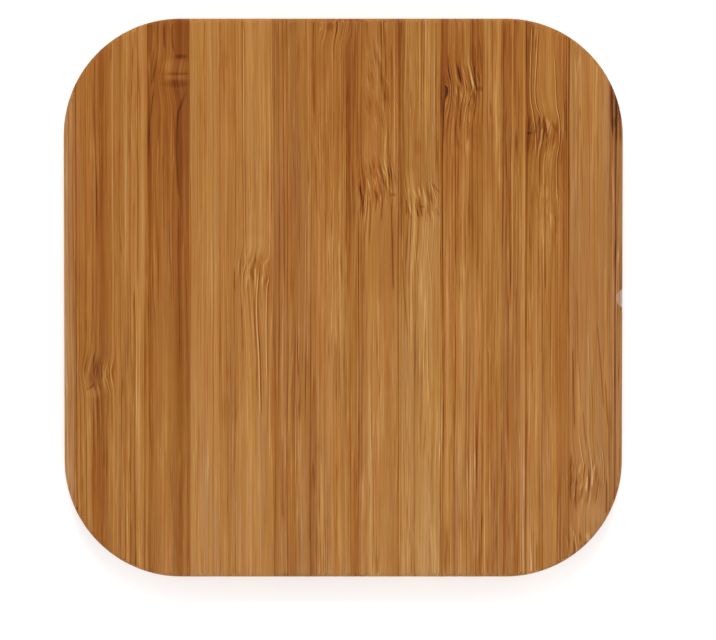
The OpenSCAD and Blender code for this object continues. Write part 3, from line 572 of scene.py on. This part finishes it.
class Bamboo:
    """The material of one strip, worked out from its entry in STRIPS."""

    def __init__(self, number, look, left_mm, right_mm):
        self.g = Graph(f"bamboo_{number:02d}")
        self.look = look
        self.seed = SEED_STEP * number
        self.left, self.right = left_mm, right_mm
        self.x, self.y, self.z = self.g.place_mm()
        self.uneven = self.pattern("uneven", self.x)
        self.across, self.standing_out = self.bent_fibres()
        self.fibre = self.pattern("fibre", self.across)
        self.hair = self.pattern("hair", self.across, seed=0.0)

    def pattern(self, name, across, seed=None):
        """One of PATTERNS, 0 to 1. Its places change from strip to strip unless seed is given."""
        g = self.g
        per_across, per_along, per_deep, place, detail, roughness = PATTERNS[name]
        depth = place + (self.seed if seed is None else seed)
        if per_deep:
            depth = g.add(g.times(self.z, per_deep), depth)
        at = g.vector(g.times(across, per_across), g.times(self.y, per_along), depth)
        return g.noise(at, detail=detail, roughness=roughness)

    def bent_fibres(self):
        """x with its fibres wandering a little, and pushed aside where a joint of the cane
        crosses. Also how much they stand out there, 1 elsewhere."""
        g, x, y = self.g, self.x, self.y
        across = g.add(x, g.spread(self.pattern("wander", x), WANDER_MM))
        off_middle = g.math("ABSOLUTE", g.add(g.fit(x, self.left, self.right), -0.5))
        inside = g.step(off_middle, 0.5, PUSHED_WITHIN)
        standing_out = 1.0
        for y_mm, above, below, push_mm, more in self.look.get("bends", []):
            near = g.times(g.step(y, y_mm + above, y_mm), g.step(y, y_mm - below, y_mm))
            push = g.times(g.between(self.uneven, *PUSH_SHARES), -push_mm)
            across = g.add(across, g.times(g.times(near, inside), push))
            standing_out = g.add(g.times(g.times(near, near), more), standing_out)
        return across, standing_out

    def ground(self, t):
        """The strip's change of tone at t, 0 to 1 across it, before its lines."""
        k = min(int(t * 3), 2)
        share = t * 3 - k
        return self.look["across"][k] * (1 - share) + self.look["across"][k + 1] * share

    def profile(self, t, half):
        """The tone's change across the strip in its "upper" or "lower" half, 0.5 for none."""
        width = self.right - self.left
        stops = [(k / 3, self.ground(k / 3)) for k in range(4)]
        for x_mm, half_mm, change in self.look["lines"] + self.look.get(half, []):
            middle = (x_mm - self.left) / width
            reach = LINE_GAIN * half_mm / width
            low, high = max(middle - reach, 0.0), min(middle + reach, 1.0)
            middle = min(max(middle, 0.0), 1.0)
            stops = [s for s in stops if not low <= s[0] <= high]
            stops += [(low, self.ground(low)),
                      (middle, self.ground(middle) + LINE_GAIN * change),
                      (high, self.ground(high))]
        return self.g.ramp(t, [(place, 0.5 + tone) for place, tone in stops])

    def own_tone(self):
        """The strip's tone from end to end, partly painted light, with its bands and lines."""
        g = self.g
        t = g.fit(self.across, self.left, self.right, clamp=True)
        turn = g.step(g.add(self.y, g.spread(self.uneven, UNEVEN_MM)), UPPER_FROM_MM, LOWER_FROM_MM)
        profile = g.mix(turn, self.profile(t, "upper"), self.profile(t, "lower"))
        side_mm = PAD_SIDE / MM
        v = g.fit(self.y, -side_mm / 2, side_mm / 2, clamp=True)
        # painted light: the tones along the strip make most strips paler towards their lower end
        along = g.ramp(v, list(zip(ALONG_PLACES, self.look["along"])), "EASE")
        return g.add(along, g.spread(profile, PROFILE_TONE))

    def grain(self):
        """Soft bands, crisp fibres and hairs, all far longer than wide. Some stretches are busy
        with fibres, and others are calm."""
        g, across = self.g, self.across
        busy = g.step(self.pattern("busy", across), *BUSY_LEVELS)
        cuts = g.math("FRACT", g.times(self.pattern("cut", across), CUTS))
        fine = g.ramp(self.pattern("fine", across), FINE_STOPS)
        layers = g.add(
            g.spread(self.pattern("soft", across), SOFT_TONE),
            g.times(g.spread(self.fibre, 1.0), g.between(busy, *FIBRE_TONES)),
            g.spread(cuts, CUT_TONE),
            g.spread(g.ramp(self.pattern("thread", across), THREAD_STOPS), THREAD_TONE),
            g.times(g.spread(fine, 1.0), g.between(busy, *FINE_TONES)),
            g.spread(self.hair, HAIR_TONE),
            g.spread(self.pattern("short", across), SHORT_TONE),
        )
        lively = g.step(self.pattern("lively", self.x), *LIVELY_LEVELS)
        cloud = g.spread(self.pattern("cloud", self.x), CLOUD_TONE)
        grain = g.add(g.times(layers, g.between(lively, *LIVELY_GAINS)), cloud)
        return g.times(g.times(grain, self.standing_out), GRAIN_GAIN * self.look.get("grain", 1.0))

    def flecks(self):
        """In a joint the fibres break up into short bright and dark flecks."""
        g = self.g
        if not self.look.get("bends"):
            return 0.0
        fleck = g.spread(self.pattern("fleck", self.across), FLECK_TONE)
        return g.times(fleck, g.add(self.standing_out, -1.0))

    def stroke(self, kind, half_mm, change, *points):
        """One fibre's change of tone. An edge stroke is pale, partly painted highlight, with a
        painted shadow to its right.
        """
        g = self.g
        top, bottom = points[0][1], points[-1][1]
        u = g.fit(self.y, top, bottom)
        left = min(x_mm for x_mm, _ in points)
        width = max(max(x_mm for x_mm, _ in points) - left, 0.01)
        bend = g.curve(u, [((y_mm - top) / (bottom - top), (x_mm - left) / width)
                           for x_mm, y_mm in points])
        tip = min(TIP_MM / abs(bottom - top), 0.3)
        fade = g.step(g.math("ABSOLUTE", g.add(u, -0.5)), 0.5, 0.5 - tip)
        reach = g.between(fade, *(width_share * half_mm for width_share in STROKE_WIDTHS))
        from_middle = g.math("SUBTRACT", self.x, g.between(bend, left, left + width))
        place = g.add(g.math("DIVIDE", from_middle, reach), 0.5)
        shape = g.ramp(place, STROKE_SHAPES[kind], "EASE")
        if kind == "edge":
            shape = g.spread(shape, 1.0)
        return g.times(g.times(shape, fade), STROKE_GAIN * change)

    def patch(self, x_mm, y_mm, half_x, half_y, change):
        """A soft oval of another tone."""
        g = self.g
        off = g.length(g.fit(self.x, x_mm, x_mm + half_x), g.fit(self.y, y_mm, y_mm + half_y))
        return g.times(g.step(off, PATCH_RIM, PATCH_CORE), change)

    def dashes(self, x_mm, y_mm, half_x, half_y, slant, strength):
        """Short slanting fibres in a soft oval."""
        g = self.g
        leaning = g.add(self.x, g.times(self.y, slant))
        dash = g.spread(g.ramp(self.pattern("dash", leaning), DASH_STOPS), 1.0)
        return g.times(dash, self.patch(x_mm, y_mm, half_x, half_y, strength))

    def end_grain_with_painted_highlight(self, tone):
        """The tone, with dark dots where the surface cuts across the fibres, on a ground that is
        painted paler than the face: a painted highlight on the pad's end walls."""
        g = self.g
        _, facing_y, _ = g.facing()
        end = g.step(g.math("ABSOLUTE", facing_y), *END_FACING)
        at = g.vector(g.times(self.x, DOTS_PER_MM), 0.0, g.times(self.z, DOTS_PER_MM))
        dots = g.step(g.cells(at, "F1"), *DOT_LEVELS)
        # painted highlight: the end walls are painted paler than the face, apart from their dark
        # dots
        end_tone = g.add(g.times(tone, END_TONE_SHARE), g.times(dots, END_DOT_TONE), END_TONE)
        return g.add(g.times(tone, g.math("SUBTRACT", 1.0, end)), g.times(end_tone, end))

    def colour(self, tone):
        """The tone as a colour between orange and pink, with its hue turned a little."""
        g, look = self.g, self.look
        lean = g.spread(self.pattern("lean", self.across), PINK_LEAN)
        pink = g.add(lean, look.get("pink", USUAL_PINK))
        pink = g.math("MULTIPLY_ADD", self.y, PINK_PER_MM, pink, clamp=True)
        warm = g.between(self.pattern("warm", self.across), *HUES)
        turned = g.node("ShaderNodeHueSaturation")
        g.put(turned.inputs["Hue"], g.add(warm, look.get("olive", 0.0)))
        g.put(turned.inputs["Color"], g.mix(pink, tone_colour(g, tone, ORANGE_TONES),
                                            tone_colour(g, tone, PINK_TONES)))
        return turned.outputs["Color"]

    def finish(self):
        """Puts the parts together and returns the material."""
        g, look = self.g, self.look
        marks = [self.stroke(*mark) for mark in look.get("strokes", [])]
        marks += [self.patch(*mark) for mark in look.get("patches", [])]
        marks += [self.dashes(*mark) for mark in look.get("dashes", [])]
        tone = g.add(self.own_tone(), self.grain(), self.flecks(), *marks)
        g.set(Base_Color=self.colour(self.end_grain_with_painted_highlight(tone)))
        g.set(Roughness=g.between(self.fibre, *WOOD_ROUGHNESS), Specular_IOR_Level=WOOD_SPECULAR)
        relief = g.add(g.times(self.fibre, FIBRE_RELIEF_MM), g.times(self.hair, HAIR_RELIEF_MM))
        g.bump(relief, RELIEF_STRENGTH)
        return g.material


# ------------------------------------------------------------------ other materials

# Plain stuff has slow clouds as well as its fine grain.
CLOUDS_PER_MM = 0.12
CLOUD_SHARE = 0.4
CLOUD_GLOSS = 0.08
SHADE = 0.12
# Metal has lines drawn into it.
LINE_SHADE = 0.82
LINE_GLOSS = 0.1
LINE_RELIEF_MM = 0.003


def speckled(name, colour, roughness, grain_mm=0.1, relief_mm=0.004):
    """Plain stuff with a fine grain in its colour, gloss and surface."""
    g = Graph(name)
    at = g.vector(*g.place_mm())
    grain = g.noise(at, scale=1 / grain_mm, detail=3.0)
    cloud = g.noise(at, scale=CLOUDS_PER_MM, detail=3.0)
    light = tuple(min(channel * (1 + SHADE) + 0.004, 1) for channel in colour[:3]) + (1,)
    speckle = g.add(g.times(grain, 1 - CLOUD_SHARE), g.times(cloud, CLOUD_SHARE))
    g.set(Base_Color=g.mix(speckle, darker(colour, 1 - SHADE), light))
    g.set(Roughness=g.between(cloud, roughness - CLOUD_GLOSS, roughness + CLOUD_GLOSS))
    g.bump(g.times(grain, relief_mm))
    return g.material


def brushed(name, colour, roughness, lines_per_mm):
    """Metal with fine drawn lines. lines_per_mm is small along the direction they run in."""
    g = Graph(name)
    at = g.vector(*(g.times(part, rate) for part, rate in zip(g.place_mm(), lines_per_mm)))
    lines = g.noise(at, detail=3.0)
    g.set(Base_Color=g.mix(lines, darker(colour, LINE_SHADE), colour), Metallic=1.0)
    g.set(Roughness=g.between(lines, roughness - LINE_GLOSS, roughness + LINE_GLOSS))
    g.bump(g.times(lines, LINE_RELIEF_MM))
    return g.material


# How fast the strands' twist turns round the coil, outwards and upwards.
TWISTS_ROUND = 28.0
TWIST_PER_MM_OUT = 9.0
TWIST_PER_MM_UP = 14.0
STRAND_RELIEF_MM = 0.04


def strands(name, colour):
    """A bundle of fine enamelled wires, twisted together round the coil's turns, with painted shade
    in the grooves.
    """
    g = Graph(name)
    x, y, z = g.place_mm()
    outwards = g.times(g.length(x, y), TWIST_PER_MM_OUT)
    upwards = g.times(z, TWIST_PER_MM_UP)
    around = g.times(g.math("ARCTAN2", y, x), TWISTS_ROUND)
    lay = g.fit(g.math("SINE", g.add(outwards, upwards, around)), -1, 1)
    # painted shade: the grooves between the strands are darkened to 45% of the wire's colour
    g.set(Base_Color=g.mix(lay, darker(colour, 0.45), colour), Metallic=0.55)
    g.set(Roughness=g.between(lay, 0.48, 0.33))
    g.bump(g.times(lay, STRAND_RELIEF_MM))
    return g.material


# The tracks are the edges of large cells, and the laminate is bare between them.
TRACKS_PER_MM = 0.16
TRACK_EDGE = (0.05, 0.08)
TRACK_RELIEF_MM = 0.03
WEAVE_PER_MM = 3.0


def board_material():
    """Green solder mask over copper tracks on glass-fibre laminate."""
    g = Graph("solder_mask")
    x, y, _ = g.place_mm()
    at = g.vector(g.times(x, TRACKS_PER_MM), g.times(y, TRACKS_PER_MM), 0.0)
    bare = g.step(g.cells(at, "DISTANCE_TO_EDGE"), *TRACK_EDGE)
    weave = g.noise(g.vector(g.times(x, WEAVE_PER_MM), g.times(y, WEAVE_PER_MM), 0.0))
    mask = g.mix(bare, srgb(24, 96, 60), srgb(16, 74, 46))
    g.set(Base_Color=g.mix(g.times(weave, 0.3), mask, srgb(34, 110, 70)), Coat_Weight=0.3)
    g.set(Roughness=g.between(weave, 0.28, 0.38))
    g.bump(g.times(bare, -TRACK_RELIEF_MM))
    return g.material


# The light pipe's pale rim at the pad's edge: its width, how softly it begins, how far it
# wavers, and how far a darker seam reaches to either side of where it begins.
RIM_MM = 0.5
RIM_FADE_MM = 0.2
RIM_WAVER_MM = 0.15
SEAM_MM = 0.15


def light_pipe_material():
    """Frosted clear acrylic: the wood shows through its inner part, and its rim looks pale."""
    g = Graph("frosted_acrylic")
    x, y, z = g.place_mm()
    frost = g.noise(g.vector(x, y, z), scale=3.0, detail=3.0)
    rim_x = PAD_HIGH.x / MM - RIM_MM
    rim = g.step(g.add(x, g.spread(frost, RIM_WAVER_MM)), rim_x, rim_x + RIM_FADE_MM)
    seam = g.times(g.step(x, rim_x - SEAM_MM, rim_x), g.step(x, rim_x + SEAM_MM, rim_x))
    inner = g.mix(frost, srgb(166, 112, 76), srgb(206, 160, 128))
    outer = g.mix(frost, srgb(152, 134, 112), srgb(190, 174, 152))
    colour = g.mix(rim, inner, outer)
    g.set(Base_Color=g.mix(g.times(seam, 0.5), colour, srgb(130, 92, 60)))
    g.set(Roughness=g.between(frost, 0.25, 0.45), Transmission_Weight=0.35, IOR=1.49)
    g.bump(g.times(frost, 0.01))
    return g.material


def paint(name, material):
    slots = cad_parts[name].data.materials
    slots.clear()
    slots.append(material)


def dress():
    """Gives every CAD node its material."""
    for number, (name, look) in enumerate(zip(STRIP_NAMES, STRIPS), start=1):
        low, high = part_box(name)
        paint(name, Bamboo(number, look, low.x / MM, high.x / MM).finish())

    steel = srgb(196, 199, 204)
    ceramic = speckled("capacitor_ceramic", srgb(168, 124, 82), 0.55, 0.08)
    dark_moulding = speckled("chip_moulding", srgb(34, 35, 38), 0.5, 0.06)
    ferrite = speckled("sintered_ferrite", srgb(58, 59, 63), 0.6, 0.15, 0.01)
    tape = speckled("tape", srgb(222, 214, 190), 0.6, 0.4)
    rubber = speckled("foot_rubber", srgb(74, 75, 77), 0.8, 0.12, 0.008)
    wire = strands("litz_wire", srgb(196, 112, 66))
    tin = brushed("tin", srgb(206, 208, 211), 0.32, (4.0, 4.0, 4.0))
    finishes = {
        "light_pipe": light_pipe_material(),
        "base_plate": speckled("moulded_plate", srgb(46, 47, 50), 0.5, 0.25, 0.02),
        "base_seal_tape": tape,
        "foot_front_left": rubber,
        "foot_front_right": rubber,
        "foot_rear_left": rubber,
        "foot_rear_right": rubber,
        "foot_adhesive_discs": tape,
        "cover_screws": brushed("zinc_plate", steel, 0.34, (5.0, 5.0, 5.0)),
        "circuit_board": board_material(),
        "usb_shell": brushed("nickel_shell", steel, 0.26, (0.4, 9.0, 9.0)),
        "usb_insulator": speckled("port_plastic", srgb(24, 24, 26), 0.5, 0.1),
        "usb_contacts": brushed("gold_contacts", srgb(232, 190, 100), 0.25, (0.5, 9.0, 9.0)),
        "controller_ic": dark_moulding,
        "power_bridge_ics": dark_moulding,
        "timing_crystal": brushed("crystal_can", steel, 0.3, (6.0, 0.5, 6.0)),
        "input_inductor": ferrite,
        "resonant_capacitors": ceramic,
        "bulk_capacitors": ceramic,
        "chip_capacitors": ceramic,
        "chip_resistors": dark_moulding,
        "chip_end_caps": tin,
        "status_led": speckled("lamp_resin", srgb(244, 240, 214), 0.3, 0.1),
        "thermal_pad": speckled("thermal_silicone", srgb(140, 160, 180), 0.7, 0.1, 0.01),
        "ferrite_tape": tape,
        "ferrite_plate": ferrite,
        "coil_tape": tape,
        "coil_winding": wire,
        "coil_top_tape": tape,
        "coil_lead_inner": wire,
        "coil_lead_outer": wire,
        "coil_thermistor": speckled("thermistor_epoxy", srgb(40, 40, 44), 0.3, 0.1),
        "solder_joints": tin,
    }
    for name, material in finishes.items():
        paint(name, material)


# ------------------------------------------------------------------ floor, lights and camera

FLOOR_GLOW = 0.12
FLOOR_RADIUS = 4.0
# The opening under the pad follows its outline, as a superellipse of this power.
FLOOR_OPENING = PAD_SIDE / 2 - 2 * MM
SQUARENESS = 5.3
FLOOR_STEPS = 96

WALL_LIGHT = 1.32
# The tent's light as a share of WALL_LIGHT, from straight down, -1, to straight up, 1.
TENT = [(-1.0, 1.0), (-0.46, 1.0), (-0.36, 0.2), (-0.01, 0.2), (0.0, 1.0), (0.5, 1.0),
        (1.0, 0.38)]
# The two softboxes: place, size and watts.
SOFTBOXES = {
    "key": ((0.0, 0.60, 0.75), 0.35, 4.2),
    "fill": ((0.1, -0.45, 0.9), 0.6, 2.0),
}

# The picture is VIEW_WIDTH wide at the charging face, round a point that lies VIEW_OFFSET from
# the face's middle.
CAMERA_DISTANCE = 0.60
CAMERA_TILT = math.radians(2.2)
VIEW_WIDTH = 0.1153
VIEW_OFFSET = Vector((0.00238, -0.00346, 0))


def floor_mesh():
    """A flat ring, from the opening under the pad out to a far rim."""
    inner, outer, faces = [], [], []
    for k in range(FLOOR_STEPS):
        angle = math.tau * k / FLOOR_STEPS
        x, y = math.cos(angle), math.sin(angle)
        reach = FLOOR_OPENING / (abs(x) ** SQUARENESS + abs(y) ** SQUARENESS) ** (1 / SQUARENESS)
        inner.append((reach * x, reach * y, 0))
        outer.append((FLOOR_RADIUS * x, FLOOR_RADIUS * y, 0))
        after = (k + 1) % FLOOR_STEPS
        faces.append((k, FLOOR_STEPS + k, FLOOR_STEPS + after, after))
    mesh = bpy.data.meshes.new("floor")
    mesh.from_pydata(inner + outer, [], faces)
    return mesh


def floor_material():
    """White lacquer that glows a little. Seen from below, it lets everything through."""
    g = Graph("white_table")
    cloud = g.noise(g.vector(*g.place_mm()), scale=0.01)
    g.set(Base_Color=g.mix(cloud, (0.90, 0.90, 0.90, 1), (0.92, 0.92, 0.92, 1)), Roughness=0.35)
    g.set(Emission_Color=(1.0, 0.995, 0.99, 1), Emission_Strength=FLOOR_GLOW)
    clear = g.node("ShaderNodeBsdfTransparent")
    blend = g.node("ShaderNodeMixShader")
    g.put(blend.inputs[0], g.node("ShaderNodeNewGeometry").outputs["Backfacing"])
    g.put(blend.inputs[1], g.shader.outputs[0])
    g.put(blend.inputs[2], clear.outputs[0])
    g.put(g.output.inputs["Surface"], blend.outputs[0])
    return g.material


def make_floor():
    """A white table top. It is open under the pad, where nobody looks from above, so that light
    reaches the pad's underside."""
    floor = bpy.data.objects.new("floor", floor_mesh())
    bpy.context.scene.collection.objects.link(floor)
    floor.data.materials.append(floor_material())


def make_world():
    """A light tent: bright walls all round, a dimmer roof where the camera looks in, and a
    bright ground, dim towards the horizon so that it doesn't shine out from under the pad."""
    world = bpy.data.worlds.new("light_tent")
    world.use_nodes = True
    tree = world.node_tree
    at = tree.nodes.new("ShaderNodeTexCoord")
    split = tree.nodes.new("ShaderNodeSeparateXYZ")
    place = tree.nodes.new("ShaderNodeMapRange")
    share = tree.nodes.new("ShaderNodeValToRGB")
    strength = tree.nodes.new("ShaderNodeMath")
    place.inputs["From Min"].default_value = -1.0
    fill_ramp(share.color_ramp, [((height + 1) / 2, light) for height, light in TENT], "EASE")
    strength.operation = "MULTIPLY"
    strength.inputs[1].default_value = WALL_LIGHT
    background = tree.nodes["Background"]
    background.inputs["Color"].default_value = (1, 1, 1, 1)
    for start, end in ((at.outputs["Generated"], split.inputs[0]),
                       (split.outputs["Z"], place.inputs["Value"]),
                       (place.outputs["Result"], share.inputs[0]),
                       (share.outputs["Color"], strength.inputs[0]),
                       (strength.outputs[0], background.inputs["Strength"])):
        tree.links.new(start, end)
    bpy.context.scene.world = world


def area_light(name, place, size, watts):
    """A square softbox that faces the middle of the pad."""
    data = bpy.data.lights.new(name, "AREA")
    data.shape = "SQUARE"
    data.size = size
    data.energy = watts
    light = bpy.data.objects.new(name, data)
    light.location = place
    light.rotation_mode = "QUATERNION"
    light.rotation_quaternion = (-Vector(place)).to_track_quat("-Z", "Y")
    bpy.context.scene.collection.objects.link(light)


def make_lights():
    for name, (place, size, watts) in SOFTBOXES.items():
        area_light(name, place, size, watts)


def make_camera():
    """Looks down on the charging face, from a little way over its upper edge."""
    data = bpy.data.cameras.new("camera")
    data.sensor_width = 36
    data.lens = data.sensor_width * CAMERA_DISTANCE / VIEW_WIDTH
    data.clip_start, data.clip_end = 0.01, 20
    camera = bpy.data.objects.new("camera", data)
    back = Vector((0, math.sin(CAMERA_TILT), math.cos(CAMERA_TILT)))
    camera.location = Vector((0, 0, FACE_Z)) + VIEW_OFFSET + back * CAMERA_DISTANCE
    camera.rotation_euler = (-CAMERA_TILT, 0, 0)
    bpy.context.scene.collection.objects.link(camera)
    bpy.context.scene.camera = camera
    bpy.context.scene.view_settings.view_transform = "Standard"


make_camera()
dress()
make_floor()
make_world()
make_lights()
